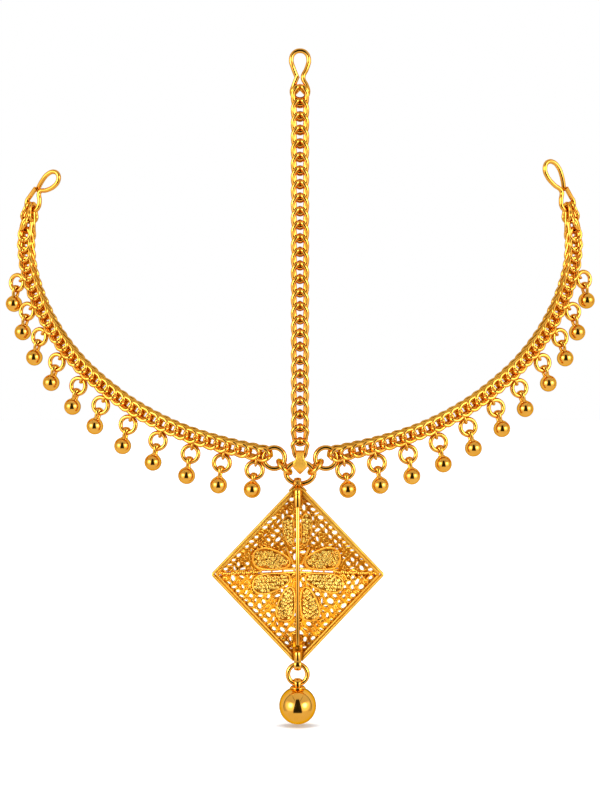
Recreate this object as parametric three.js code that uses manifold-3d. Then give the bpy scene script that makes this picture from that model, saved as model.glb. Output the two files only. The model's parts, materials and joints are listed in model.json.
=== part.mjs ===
// A gold matha patti, the chain jewel that lies over the hair and forehead.
// A centre chain runs down from a wire hook to a pierced square pendant with a ball drop, and two
// side chains sweep out and back to hooks of their own, each with a row of small ball drops.
// Millimetres, +Z up, +X to the right seen from the pendant's hollow back, -Y towards that viewer.
// The origin is the inner top of the upper hook's loop, where the jewel hangs.

import * as THREE from 'three';
import { mergeVertices } from 'three/addons/utils/BufferGeometryUtils.js';
import Module from 'manifold-3d';

const wasm = await Module();
wasm.setup();

// Driving dimensions

const WIRE_SIDES = 5;
const RING_GAP = 0.3;            // clear space between two linked wires

const HOOK_WIRE = 0.65;          // wire radius of the three hooks
const HOOK_TOP = 13.2;           // top of the pear loop above the middle of the lower loop
const HOOK_WAIST = 4.6;
const HOOK_LOW_RADIUS = 2.65;    // lower loop, at the middle of its wire
const HOOK_REACH = 1.4;          // end of a side chain to the wire of its hook
const HOOK_STEPS = 18;

const LINK_WIRE = 0.62;          // centre chain, a folded loop to each link
const LINK_PITCH = 4.32;
const LINK_COUNT = 27;
const LINK_HALF_WIDTH = 2.22;
const LINK_SEAT = 1.12;          // rise of a fold above the arch that it sits on
const LINK_ROCK = 0.2;           // a fold's back stands this much higher than its middle

const SIDE_CHAIN_RADIUS = 2.2;   // side chain as a plain tube
const SIDE_CHAIN_SIDES = 8;
const SIDE_CHAIN_STEPS = 13;
const SIDE_LOOP_WIRE = 0.4;      // small loops on the side chain
const SWEEP_RADIUS = 220;        // the side chains lie on an upright cylinder of this radius

const JUMP_RADIUS = 2.65;        // jump ring, at the middle of its wire
const JUMP_WIRE = 0.68;
const JUMP_OFFSET = 5.8;         // middle of a jump ring below the chain's axis
const BALL_RADIUS = 2.8;
const BALL_REACH = 7.3;          // middle of a jump ring to the middle of its ball
const INNER_BALL_REACH = 6.4;    // the drop nearest the pendant hangs shorter
const DROP_LEAN = 18;            // degrees, for a drop on a chain that slopes at 45
const EYE_WIRE = 0.62;
const EYE_RADIUS = 1.6;

const RING_WIRE = 0.72;          // end rings
const END_RING_RADIUS = 3.45;
const END_RING_OUT = 8.4;
const END_RING_Z = -131.8;
const TIE_RING_RADIUS = 2.75;    // rings that tie the end rings to the centre ring
const TIE_RING_WIRE = 0.6;
const TIE_RING_OUT = 5.1;
const TIE_RING_Z = -134.65;
const TIE_RING_TILT = 12;        // degrees, from edge-on
const CENTRE_RING_WIRE = 0.75;
const CENTRE_RING_HALF_WIDTH = 4.7;
const CENTRE_RING_HALF_HEIGHT = 3.62;

const PENDANT_HALF_WIDTH = 28.2; // a square on its corner, a little taller than wide
const PENDANT_HALF_HEIGHT = 29.7;
const PENDANT_X = -0.75;         // the pendant hangs a little to the left
const PENDANT_Z = -169.45;
const PENDANT_BACK = -2.6;       // back face of the frame
const FRAME_DEPTH = 3;
const FRAME_BAND = 1.5;
const SIDE_CUT = 0.4;            // taken off the frame's side corners
const END_CUT = 1.8;             // taken off its top and bottom corners
const PYRAMID_RISE = 9;
const SHEET = 1.2;
const GAP_PITCH = 4.1;           // pierced gaps along a row
const GAP_HALF_LENGTH = 1.5;
const GAP_HALF_WIDTH = 0.8;
const PETAL_PROUD = 0.5;
const RIDGE_WIDTH = 1;           // strips along the pyramid's four ridges
const RIDGE_PROUD = 0.2;
const EYE_BAND_WIDTH = 2.2;      // strap loops at the pendant's top and bottom corners
const EYE_BAND = 0.9;
const BAR_Y = PENDANT_BACK - 0.7;

const BOTTOM_RING_RADIUS = 3.15;
const BOTTOM_RING_WIRE = 0.7;
const BOTTOM_RING_Y = PENDANT_BACK - 0.2;
const LARGE_BALL_RADIUS = 6;

// Side chain, seen from the front: distance out from the middle and height
const SIDE_CHAIN_PATH = [
  { out: 13.0, z: -130.15 },
  { out: 26.1, z: -127.3 },
  { out: 46.2, z: -120.2 },
  { out: 67.4, z: -106.6 },
  { out: 80.7, z: -92.9 },
  { out: 88.8, z: -79.1 },
  { out: 93.0, z: -66.5 },
  { out: 93.6, z: -57.8 },
  { out: 92.2, z: -49.7 },
];

// Distance of each drop along its chain from the inner end
const DROP_PLACES = [
  { left: 0.6, right: 0.6 },
  { left: 11.4, right: 11.0 },
  { left: 22.0, right: 21.5 },
  { left: 33.1, right: 31.8 },
  { left: 44.3, right: 42.8 },
  { left: 55.4, right: 54.0 },
  { left: 65.6, right: 64.5 },
  { left: 76.3, right: 76.0 },
  { left: 86.7, right: 86.4 },
  { left: 96.1, right: 96.0 },
  { left: 106.0, right: 107.0 },
];

// The hook's wire, from its free tip round the pear loop and the lower loop to its hidden end
const HOOK_PATH = [
  { across: -1.3, up: 5.35 },
  { across: -2.2, up: 7.6 },
  { across: -2.85, up: 10.3 },
  { across: -2.0, up: 12.4 },
  { across: 0, up: HOOK_TOP },
  { across: 2.0, up: 12.4 },
  { across: 2.85, up: 10.3 },
  { across: 2.2, up: 7.4 },
  { across: 1.0, up: 4.5 },
  { across: 2.2, up: 1.7 },
  { across: 2.6, up: -0.3 },
  { across: 1.65, up: -2.1 },
  { across: 0, up: -HOOK_LOW_RADIUS },
  { across: -1.65, up: -2.1 },
  { across: -2.6, up: -0.3 },
  { across: -2.0, up: 1.9 },
  { across: -1.0, up: 3.75 },
];

// Rows of pierced gaps on a pendant face: distance from the middle square to the frame, and count
const GAP_ROWS = [
  { out: 16.9, count: 7 },
  { out: 14.4, count: 6 },
  { out: 11.7, count: 1 },
];

// A petal's middle, half sizes and turn, measured along and beside its ridge
const PETAL = { along: 9.0, beside: 4.2, halfLong: 5.8, halfWide: 3.3, turn: 0.1, points: 8 };

// Side hooks: lean of the lower loop, and the further bend and the lengthening of the pear loop
const SIDES = [
  { name: 'left', sign: -1, hookLean: 24, pearBend: 36, pearScale: 1.13 },
  { name: 'right', sign: 1, hookLean: 20, pearBend: 17, pearScale: 1.3 },
];

// Sizes that follow from them

const hookTopZ = HOOK_WIRE;
const hookLowZ = hookTopZ - HOOK_TOP;
const linkHeight = LINK_PITCH + LINK_SEAT;
const firstFoldZ = hookLowZ - HOOK_LOW_RADIUS + HOOK_WIRE + RING_GAP + LINK_WIRE;
const lastArchZ = firstFoldZ - linkHeight - (LINK_COUNT - 1) * LINK_PITCH;
const centreRingTopZ = lastArchZ - LINK_WIRE - RING_GAP - CENTRE_RING_WIRE;
const centreRingZ = centreRingTopZ - CENTRE_RING_HALF_HEIGHT;
const pendantHingeZ = centreRingZ - CENTRE_RING_HALF_HEIGHT;
const pendantStretch = PENDANT_HALF_HEIGHT / PENDANT_HALF_WIDTH;
const pendantTopZ = PENDANT_Z + PENDANT_HALF_HEIGHT - END_CUT;
const pendantBottomZ = PENDANT_Z - PENDANT_HALF_HEIGHT + END_CUT;
const ballHingeZ = pendantBottomZ - RING_GAP - BOTTOM_RING_WIRE;
const bottomRingZ = ballHingeZ - BOTTOM_RING_RADIUS;
const largeBallZ = bottomRingZ - BOTTOM_RING_RADIUS - BOTTOM_RING_WIRE - RING_GAP - LARGE_BALL_RADIUS;

// Solids

const radians = THREE.MathUtils.degToRad;

function solid(geometry) {
  const bare = geometry.index ? geometry.toNonIndexed() : geometry.clone();
  bare.deleteAttribute('normal');
  bare.deleteAttribute('uv');
  const merged = mergeVertices(bare, 1e-4);
  return new wasm.Manifold(new wasm.Mesh({
    numProp: 3,
    vertProperties: Float32Array.from(merged.attributes.position.array),
    triVerts: Uint32Array.from(merged.index.array),
  }));
}

function geometryOf(body) {
  const { numProp, vertProperties, triVerts } = body.getMesh();
  const geometry = new THREE.BufferGeometry();
  const positions = new Float32Array((vertProperties.length / numProp) * 3);
  for (let i = 0; i < positions.length / 3; i += 1) {
    positions.set(vertProperties.subarray(i * numProp, i * numProp + 3), i * 3);
  }
  geometry.setAttribute('position', new THREE.BufferAttribute(positions, 3));
  geometry.setIndex(new THREE.BufferAttribute(Uint32Array.from(triVerts), 1));
  geometry.computeVertexNormals();
  return geometry;
}

function fuse(geometries) {
  const bodies = geometries.map(solid);
  return geometryOf(bodies.reduce((whole, body) => whole.add(body)));
}

function polygon(radius, sides, turn = 0) {
  const points = [];
  for (let i = 0; i < sides; i += 1) {
    const angle = turn + (i / sides) * 2 * Math.PI;
    points.push(new THREE.Vector2(radius * Math.cos(angle), radius * Math.sin(angle)));
  }
  return points;
}

// A smooth curve that is stepped from point to point, not by length
function pointCurve(points, closed) {
  const curve = new THREE.CatmullRomCurve3(points, closed, 'centripetal');
  curve.getPointAt = curve.getPoint;
  curve.getTangentAt = curve.getTangent;
  return curve;
}

// An open or a closed wire whose sections stand at the given points
function openWire(points, radius) {
  return new THREE.ExtrudeGeometry(new THREE.Shape(polygon(radius, WIRE_SIDES)), {
    steps: points.length - 1,
    extrudePath: pointCurve(points, false),
    bevelEnabled: false,
  });
}

function closedWire(points, radius) {
  return new THREE.TubeGeometry(pointCurve(points, true), points.length, radius, WIRE_SIDES, true);
}

// A round ring that stands upright and faces along Y
function roundRing(radius, wire, segments) {
  const profile = polygon(wire, WIRE_SIDES).map((point) => point.add(new THREE.Vector2(radius, 0)));
  return new THREE.LatheGeometry([...profile, profile[0]], segments);
}

// A loop open at the bottom, round the origin in the YZ plane, whose feet reach down by `foot`
function openEye(foot) {
  const half = [
    { y: 0.75 * EYE_RADIUS, z: -foot },
    { y: EYE_RADIUS, z: -0.12 * EYE_RADIUS },
    { y: 0.56 * EYE_RADIUS, z: 0.94 * EYE_RADIUS },
  ];
  return openWire([
    ...half.map(({ y, z }) => new THREE.Vector3(0, -y, z)),
    ...half.toReversed().map(({ y, z }) => new THREE.Vector3(0, y, z)),
  ], EYE_WIRE);
}

// A strap bent to a loop round X
function strapLoop(inner, outer, width, y, z) {
  const shape = new THREE.Shape(polygon(outer, 12));
  shape.holes.push(new THREE.Path(polygon(inner, 12)));
  const loop = new THREE.ExtrudeGeometry(shape, { depth: width, bevelEnabled: false });
  return loop.rotateY(Math.PI / 2).translate(-width / 2, y, z);
}

// Centre chain

function foldedLink(foldZ) {
  const archZ = foldZ - linkHeight;
  const half = [
    { x: 0.65, y: 2.05, z: foldZ, rock: LINK_ROCK },
    { x: LINK_HALF_WIDTH, y: 1.55, z: archZ + 2, rock: 0 },
    { x: 1.15, y: 0.75, z: archZ, rock: 0 },
  ];
  const corner = ({ x, y, z, rock }, sx, sy) => new THREE.Vector3(sx * x, sy * y, z + sy * rock);
  return closedWire([
    ...half.map((point) => corner(point, 1, -1)),
    ...half.toReversed().map((point) => corner(point, -1, -1)),
    ...half.map((point) => corner(point, -1, 1)),
    ...half.toReversed().map((point) => corner(point, 1, 1)),
  ], LINK_WIRE);
}

function centreChain() {
  const links = [];
  for (let i = 0; i < LINK_COUNT; i += 1) {
    links.push(foldedLink(firstFoldZ - i * LINK_PITCH));
  }
  return fuse(links);
}

// Side chains

const sweepDepth = (out) => SWEEP_RADIUS - Math.sqrt(SWEEP_RADIUS ** 2 - out ** 2);
const sweepTurn = (out) => Math.asin(out / SWEEP_RADIUS);

function sideChainCurve(sign) {
  const points = SIDE_CHAIN_PATH.map(({ out, z }) => new THREE.Vector3(sign * out, sweepDepth(out), z));
  return new THREE.CatmullRomCurve3(points, false, 'centripetal');
}

// Place on the side chain: its point, direction outwards, outward face and the way down across it
function chainPlace(curve, sign, distance) {
  const u = distance / curve.getLength();
  const point = curve.getPointAt(u);
  const along = curve.getTangentAt(u);
  const turn = sweepTurn(Math.abs(point.x));
  const face = new THREE.Vector3(sign * Math.sin(turn), -Math.cos(turn), 0);
  const below = new THREE.Vector3().crossVectors(along, face).multiplyScalar(sign).normalize();
  return { point, along, face, below, turn };
}

// A loop from `foot` round a wire that lies `reach` away in `direction`, its legs apart along `face`
function loopRound(foot, direction, face, reach, inside) {
  const radius = inside + SIDE_LOOP_WIRE;
  const at = (far, aside) => foot.clone().addScaledVector(direction, far).addScaledVector(face, aside);
  return openWire([
    at(-1.2, radius),
    at(reach + radius, radius),
    at(reach + radius, -radius),
    at(-1.2, -radius),
  ], SIDE_LOOP_WIRE);
}

function sideChain(sign, drops) {
  const curve = sideChainCurve(sign);
  const length = curve.getLength();
  const tube = new THREE.ExtrudeGeometry(new THREE.Shape(polygon(SIDE_CHAIN_RADIUS, SIDE_CHAIN_SIDES)), {
    steps: SIDE_CHAIN_STEPS,
    extrudePath: curve,
    bevelEnabled: false,
  });
  const parts = [tube];
  const inner = chainPlace(curve, sign, 0);
  const ringWire = endRingWire(sign);
  const toRing = ringWire.clone().sub(inner.point);
  const ringReach = toRing.length();
  parts.push(loopRound(inner.point, toRing.normalize(), inner.face, ringReach, RING_WIRE + RING_GAP));
  const outer = chainPlace(curve, sign, length);
  parts.push(loopRound(outer.point, outer.along, outer.face, HOOK_REACH, HOOK_WIRE + RING_GAP));
  for (const distance of drops) {
    const place = chainPlace(curve, sign, distance);
    const foot = place.point.clone().addScaledVector(place.below, SIDE_CHAIN_RADIUS);
    const reach = JUMP_OFFSET - JUMP_RADIUS - SIDE_CHAIN_RADIUS;
    parts.push(loopRound(foot, place.below, place.face, reach, JUMP_WIRE + RING_GAP));
  }
  return fuse(parts);
}

// The point of an end ring's wire that its side chain holds
function endRingWire(sign) {
  const middle = new THREE.Vector3(sign * END_RING_OUT, 0, END_RING_Z);
  const chainEnd = new THREE.Vector3(sign * SIDE_CHAIN_PATH[0].out, 0, SIDE_CHAIN_PATH[0].z);
  return middle.addScaledVector(chainEnd.sub(middle).normalize(), END_RING_RADIUS);
}

// Hooks

function hookGeometry(mirror, pearBend, pearScale) {
  const waist = new THREE.Vector3(0, 0, HOOK_WAIST);
  const upright = new THREE.Vector3(0, 1, 0);
  const points = HOOK_PATH.map(({ across, up }) => {
    const point = new THREE.Vector3(mirror * across, 0, up);
    if (up > HOOK_WAIST) {
      point.sub(waist).multiplyScalar(pearScale);
      point.applyAxisAngle(upright, radians(mirror * pearBend)).add(waist);
    }
    return point;
  });
  return new THREE.ExtrudeGeometry(new THREE.Shape(polygon(HOOK_WIRE, WIRE_SIDES)), {
    steps: HOOK_STEPS,
    extrudePath: new THREE.CatmullRomCurve3(points, false, 'centripetal'),
    bevelEnabled: false,
  });
}

// Drops

function ballDrop(reach) {
  const eye = openEye(EYE_RADIUS + 0.6).translate(0, 0, -JUMP_RADIUS);
  const ball = new THREE.SphereGeometry(BALL_RADIUS, 10, 5).rotateX(Math.PI / 2).translate(0, 0, -reach);
  return fuse([eye, ball]);
}

function largeBall() {
  const hinge = bottomRingZ - BOTTOM_RING_RADIUS;
  const eye = openEye(EYE_RADIUS + 0.8).translate(0, BOTTOM_RING_Y, hinge);
  const ball = new THREE.SphereGeometry(LARGE_BALL_RADIUS, 14, 9).rotateX(Math.PI / 2);
  return fuse([eye, ball.translate(0, BOTTOM_RING_Y, largeBallZ)]).translate(PENDANT_X, 0, 0);
}

// Rings at the middle

function centreRing() {
  const points = [];
  const segments = 16;
  for (let i = 0; i < segments; i += 1) {
    const angle = (i / segments) * 2 * Math.PI;
    const x = CENTRE_RING_HALF_WIDTH * Math.sin(angle);
    const z = CENTRE_RING_HALF_HEIGHT * Math.cos(angle);
    points.push(new THREE.Vector3(x, 0, z + centreRingZ));
  }
  return closedWire(points, CENTRE_RING_WIRE);
}

// A folded strap with leaf-shaped ends: a loop seen from the side, trimmed to the leaf's outline
function leafBail() {
  const sheet = 0.6;
  const holeTop = lastArchZ + LINK_WIRE + RING_GAP + 0.3;
  const holeBottom = centreRingTopZ - CENTRE_RING_WIRE - 0.75;
  const halfHole = 0.75 + LINK_WIRE + RING_GAP;
  const tip = holeBottom - 2.2;
  const outline = new THREE.Shape([
    new THREE.Vector2(-halfHole - sheet, holeTop),
    new THREE.Vector2(-halfHole * 0.6, holeTop + sheet),
    new THREE.Vector2(halfHole * 0.6, holeTop + sheet),
    new THREE.Vector2(halfHole + sheet, holeTop),
    new THREE.Vector2(halfHole + sheet, holeBottom + 1),
    new THREE.Vector2(sheet, holeBottom - 0.8),
    new THREE.Vector2(sheet, tip),
    new THREE.Vector2(-sheet, tip),
    new THREE.Vector2(-sheet, holeBottom - 0.8),
    new THREE.Vector2(-halfHole - sheet, holeBottom + 1),
  ].reverse());
  outline.holes.push(new THREE.Path([
    new THREE.Vector2(-halfHole, holeTop),
    new THREE.Vector2(halfHole, holeTop),
    new THREE.Vector2(halfHole, holeBottom + 1),
    new THREE.Vector2(sheet, holeBottom),
    new THREE.Vector2(-sheet, holeBottom),
    new THREE.Vector2(-halfHole, holeBottom + 1),
  ]));
  const width = 6;
  const strap = new THREE.ExtrudeGeometry(outline, { depth: width, bevelEnabled: false });
  strap.rotateX(Math.PI / 2).rotateZ(Math.PI / 2).translate(-width / 2, 0, 0);
  const neck = 1.1;
  const leaf = new THREE.ExtrudeGeometry(new THREE.Shape([
    new THREE.Vector2(-neck, holeTop + 2),
    new THREE.Vector2(-neck, centreRingTopZ + 0.7),
    new THREE.Vector2(-2.3, holeBottom + 0.3),
    new THREE.Vector2(0, tip),
    new THREE.Vector2(2.3, holeBottom + 0.3),
    new THREE.Vector2(neck, centreRingTopZ + 0.7),
    new THREE.Vector2(neck, holeTop + 2),
  ]), { depth: width, bevelEnabled: false });
  leaf.rotateX(Math.PI / 2).translate(0, width / 2, 0);
  return geometryOf(solid(strap).intersect(solid(leaf)));
}

// Pendant: a pierced square pyramid, hollow at the back, in a frame with a bar across the back.
// Frame, faces, petals and ridges are drawn on a true square, then stretched to the pendant's height.

const frameInner = PENDANT_HALF_WIDTH - FRAME_BAND * Math.SQRT2;
const faceReach = PENDANT_HALF_WIDTH - END_CUT / pendantStretch;
const faceBase = PENDANT_BACK + FRAME_DEPTH;
const faceDepth = (x, z) => faceBase + PYRAMID_RISE * (1 - (Math.abs(x) + Math.abs(z)) / PENDANT_HALF_WIDTH);

// A flat outline in X and Z, extruded `thickness` towards the back from the sloping face
function onFace(shape, thickness, proud) {
  const plate = new THREE.ExtrudeGeometry(shape, { depth: thickness, bevelEnabled: false });
  plate.rotateX(Math.PI / 2);
  const position = plate.attributes.position;
  for (let i = 0; i < position.count; i += 1) {
    const lift = faceDepth(position.getX(i), position.getZ(i)) + proud;
    position.setY(i, position.getY(i) + lift);
  }
  return plate.scale(1, 1, pendantStretch).translate(0, 0, PENDANT_Z);
}

function pendantFace(sx, sz) {
  const corner = (x, z) => new THREE.Vector2(sx * x, sz * z);
  const inset = RIDGE_WIDTH / 4;
  const face = new THREE.Shape([corner(inset, inset), corner(faceReach, inset), corner(inset, faceReach)]);
  for (const { out, count } of GAP_ROWS) {
    for (let i = 0; i < count; i += 1) {
      const along = (i - (count - 1) / 2) * GAP_PITCH;
      const at = (o, a) => corner((o + a) / Math.SQRT2, (o - a) / Math.SQRT2);
      face.holes.push(new THREE.Path([
        at(out + GAP_HALF_WIDTH, along),
        at(out, along + GAP_HALF_LENGTH),
        at(out - GAP_HALF_WIDTH, along),
        at(out, along - GAP_HALF_LENGTH),
      ]));
    }
  }
  return onFace(face, SHEET, 0);
}

function petal(sx, sz, swap) {
  const { along, beside, halfLong, halfWide, turn, points } = PETAL;
  const outline = [];
  for (let i = 0; i < points; i += 1) {
    const angle = (i / points) * 2 * Math.PI;
    const l = halfLong * Math.cos(angle);
    const w = halfWide * Math.sin(angle);
    const far = along + l * Math.cos(turn) - w * Math.sin(turn);
    const side = beside + l * Math.sin(turn) + w * Math.cos(turn);
    outline.push(swap ? new THREE.Vector2(sx * side, sz * far) : new THREE.Vector2(sx * far, sz * side));
  }
  return onFace(new THREE.Shape(outline), SHEET + 2 * PETAL_PROUD, PETAL_PROUD);
}

// A strip along a ridge, from the middle to a corner of the frame
function ridge(x, z) {
  const half = RIDGE_WIDTH / 2;
  const strip = new THREE.Shape([
    new THREE.Vector2(-z * half, x * half),
    new THREE.Vector2(z * half, -x * half),
    new THREE.Vector2(x * faceReach + z * half, z * faceReach - x * half),
    new THREE.Vector2(x * faceReach - z * half, z * faceReach + x * half),
  ]);
  return onFace(strip, SHEET + 2 * RIDGE_PROUD, RIDGE_PROUD);
}

function pendantFrame() {
  const corners = [[1, 0], [0, 1], [-1, 0], [0, -1]].flatMap(([x, z]) => {
    const cut = x === 0 ? END_CUT / pendantStretch : SIDE_CUT;
    const tip = PENDANT_HALF_WIDTH - cut;
    return [
      new THREE.Vector2(x * tip + z * cut, z * tip - x * cut),
      new THREE.Vector2(x * tip - z * cut, z * tip + x * cut),
    ];
  });
  const shape = new THREE.Shape(corners);
  shape.holes.push(new THREE.Path(polygon(frameInner, 4)));
  const frame = new THREE.ExtrudeGeometry(shape, { depth: FRAME_DEPTH, bevelEnabled: false });
  return frame.rotateX(Math.PI / 2).scale(1, 1, pendantStretch).translate(0, faceBase, PENDANT_Z);
}

// Upright piece of the back bar between two heights
function barPiece(radius, top, bottom, sides = 8) {
  const piece = new THREE.CylinderGeometry(radius, radius, top - bottom, sides).rotateX(Math.PI / 2);
  return piece.translate(0, BAR_Y, (top + bottom) / 2);
}

function pendant() {
  const parts = [pendantFrame(), ridge(1, 0), ridge(0, 1), ridge(-1, 0), ridge(0, -1)];
  for (const sx of [-1, 1]) {
    for (const sz of [-1, 1]) {
      parts.push(pendantFace(sx, sz), petal(sx, sz, false), petal(sx, sz, true));
    }
  }
  const plateTop = PENDANT_Z - 19;
  const plateBottom = pendantBottomZ + 0.4;
  parts.push(barPiece(1.25, pendantTopZ - 0.4, pendantTopZ - 6));
  parts.push(barPiece(0.7, pendantTopZ - 5.5, plateTop - 1));
  const plate = new THREE.BoxGeometry(3.4, 1, plateTop - plateBottom);
  parts.push(plate.translate(0, PENDANT_BACK - 0.3, (plateTop + plateBottom) / 2));
  const topInner = CENTRE_RING_WIRE + RING_GAP + 0.25;
  parts.push(strapLoop(topInner, topInner + EYE_BAND, EYE_BAND_WIDTH, 0, pendantHingeZ));
  const lowInner = BOTTOM_RING_WIRE + RING_GAP + 0.15;
  parts.push(strapLoop(lowInner, lowInner + EYE_BAND, EYE_BAND_WIDTH, BOTTOM_RING_Y, ballHingeZ));
  return fuse(parts).translate(PENDANT_X, 0, 0);
}

// Assembly

const jewel = new THREE.Group();

function addPiece(name, geometry, finish = {}) {
  const material = new THREE.MeshStandardMaterial({
    color: 0xe0a43a, roughness: 0.18, metalness: 1, ...finish,
  });
  const mesh = new THREE.Mesh(geometry, material);
  mesh.name = name;
  return mesh;
}

const topHook = addPiece('hook_top', hookGeometry(1, 0, 1));
topHook.position.z = hookLowZ;
jewel.add(topHook, addPiece('chain_centre', centreChain()));
jewel.add(addPiece('leaf_bail', leafBail(), { roughness: 0.45 }));
jewel.add(addPiece('centre_ring', centreRing()));
jewel.add(addPiece('pendant', pendant(), { color: 0xd18f2c, roughness: 0.3 }));

const bottomRing = addPiece('bottom_ring', roundRing(BOTTOM_RING_RADIUS, BOTTOM_RING_WIRE, 14));
bottomRing.position.set(PENDANT_X, BOTTOM_RING_Y, bottomRingZ);
jewel.add(bottomRing, addPiece('ball_large', largeBall(), { roughness: 0.08 }));

for (const { name, sign, hookLean, pearBend, pearScale } of SIDES) {
  const curve = sideChainCurve(sign);
  const drops = DROP_PLACES.map((row) => row[name]);
  jewel.add(addPiece(`chain_${name}`, sideChain(sign, drops)));

  const endRing = addPiece(`end_ring_${name}`, roundRing(END_RING_RADIUS, RING_WIRE, 14));
  endRing.position.set(sign * END_RING_OUT, 0, END_RING_Z);
  const tieRing = addPiece(`tie_ring_${name}`, roundRing(TIE_RING_RADIUS, TIE_RING_WIRE, 12));
  tieRing.position.set(sign * TIE_RING_OUT, 0, TIE_RING_Z);
  tieRing.rotation.set(0, sign * Math.PI / 4, Math.PI / 2 + sign * radians(TIE_RING_TILT));
  jewel.add(endRing, tieRing);

  const end = chainPlace(curve, sign, curve.getLength());
  const hook = addPiece(`hook_${name}`, hookGeometry(-sign, pearBend, pearScale));
  const hookPlace = new THREE.Group();
  hookPlace.position.copy(end.point).addScaledVector(end.along, HOOK_REACH);
  hookPlace.rotation.set(0, -sign * radians(hookLean), sign * end.turn, 'ZYX');
  hook.position.z = HOOK_LOW_RADIUS;
  hookPlace.add(hook);
  jewel.add(hookPlace);

  drops.forEach((distance, i) => {
    const number = String(i + 1).padStart(2, '0');
    const place = chainPlace(curve, sign, distance);
    const slope = Math.asin(place.along.z);
    const drop = new THREE.Group();
    drop.position.copy(place.point).addScaledVector(place.below, JUMP_OFFSET);
    drop.rotation.z = sign * place.turn;
    drop.add(addPiece(`jump_ring_${name}_${number}`, roundRing(JUMP_RADIUS, JUMP_WIRE, 10)));
    const reach = i === 0 ? INNER_BALL_REACH : BALL_REACH;
    const ball = addPiece(`ball_drop_${name}_${number}`, ballDrop(reach), { roughness: 0.08 });
    ball.rotation.y = -sign * radians(DROP_LEAN) * Math.sin(2 * slope);
    drop.add(ball);
    jewel.add(drop);
  });
}

export default jewel;
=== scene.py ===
# %% [markdown]
# # A gold matha patti
# A matha patti is a chain jewel for the hair and forehead. A centre chain hangs from a wire hook and ends in
# a pierced square pendant with a ball below it. Two side chains, hung with small balls, sweep back to hooks
# of their own. The solids give every piece its place and size. This lesson dresses them with fine chain
# links, round wire, wire net and scrolls, and the gold itself. Shapes are drawn in millimetres and scaled to
# metres at the end.

# %% Load the frame
import json
import math
import random

import bmesh
import bpy
from mathutils import Matrix, Vector


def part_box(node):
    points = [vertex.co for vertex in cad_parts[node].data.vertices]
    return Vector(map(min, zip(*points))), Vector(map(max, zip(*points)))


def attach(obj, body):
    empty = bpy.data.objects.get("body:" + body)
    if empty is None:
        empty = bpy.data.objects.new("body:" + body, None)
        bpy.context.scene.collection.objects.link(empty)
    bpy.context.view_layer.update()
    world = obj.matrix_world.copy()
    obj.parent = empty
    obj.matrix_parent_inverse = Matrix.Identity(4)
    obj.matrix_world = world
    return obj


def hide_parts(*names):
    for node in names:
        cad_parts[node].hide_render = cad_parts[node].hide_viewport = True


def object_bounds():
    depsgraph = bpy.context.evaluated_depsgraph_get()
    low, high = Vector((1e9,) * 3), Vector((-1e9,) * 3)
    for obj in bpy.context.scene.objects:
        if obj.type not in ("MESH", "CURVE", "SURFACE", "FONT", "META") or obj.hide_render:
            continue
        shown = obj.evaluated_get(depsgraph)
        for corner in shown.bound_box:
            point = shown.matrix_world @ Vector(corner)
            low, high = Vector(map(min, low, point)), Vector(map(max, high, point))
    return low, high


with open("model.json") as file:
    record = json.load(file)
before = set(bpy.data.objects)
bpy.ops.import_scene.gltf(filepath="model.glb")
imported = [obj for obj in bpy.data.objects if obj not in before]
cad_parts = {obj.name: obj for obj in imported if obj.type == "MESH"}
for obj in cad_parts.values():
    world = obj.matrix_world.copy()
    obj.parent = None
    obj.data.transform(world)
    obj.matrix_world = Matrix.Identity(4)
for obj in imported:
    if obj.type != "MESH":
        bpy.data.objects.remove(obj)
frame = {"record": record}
scene = bpy.context.scene
cad_box = [list(corner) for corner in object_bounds()]
MM = 0.001

# %% [markdown]
# ## Camera
# The photograph seems to look straight at the jewel, so the camera stands level with the picture's middle,
# at a distance taken as 42 centimetres. A camera without perspective would be simpler, but so near, the side
# chains shrink a little as they recede, so this one has perspective.

# %% Camera
VIEW_DISTANCE = 0.420
VIEW_HEIGHT = -0.1129
PICTURE_HEIGHT = 0.2604  # what the frame spans, top to bottom, at the centre chain
SENSOR = 36.0

camera = bpy.data.objects.new("camera", bpy.data.cameras.new("camera"))
scene.collection.objects.link(camera)
camera.location = (0, -VIEW_DISTANCE, VIEW_HEIGHT)
camera.rotation_euler = (math.pi / 2, 0, 0)
camera.data.sensor_width = SENSOR
camera.data.lens = SENSOR * VIEW_DISTANCE / PICTURE_HEIGHT
scene.camera = camera
print("camera lens", round(camera.data.lens, 2), "mm")

# %% [markdown]
# ## Gold, written as expressions
# A material is a small graph of nodes. Wiring nodes by hand is slow to read, so one class wraps a socket and
# lets Python's own signs add the Math nodes. A finish then reads as a formula.

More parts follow.
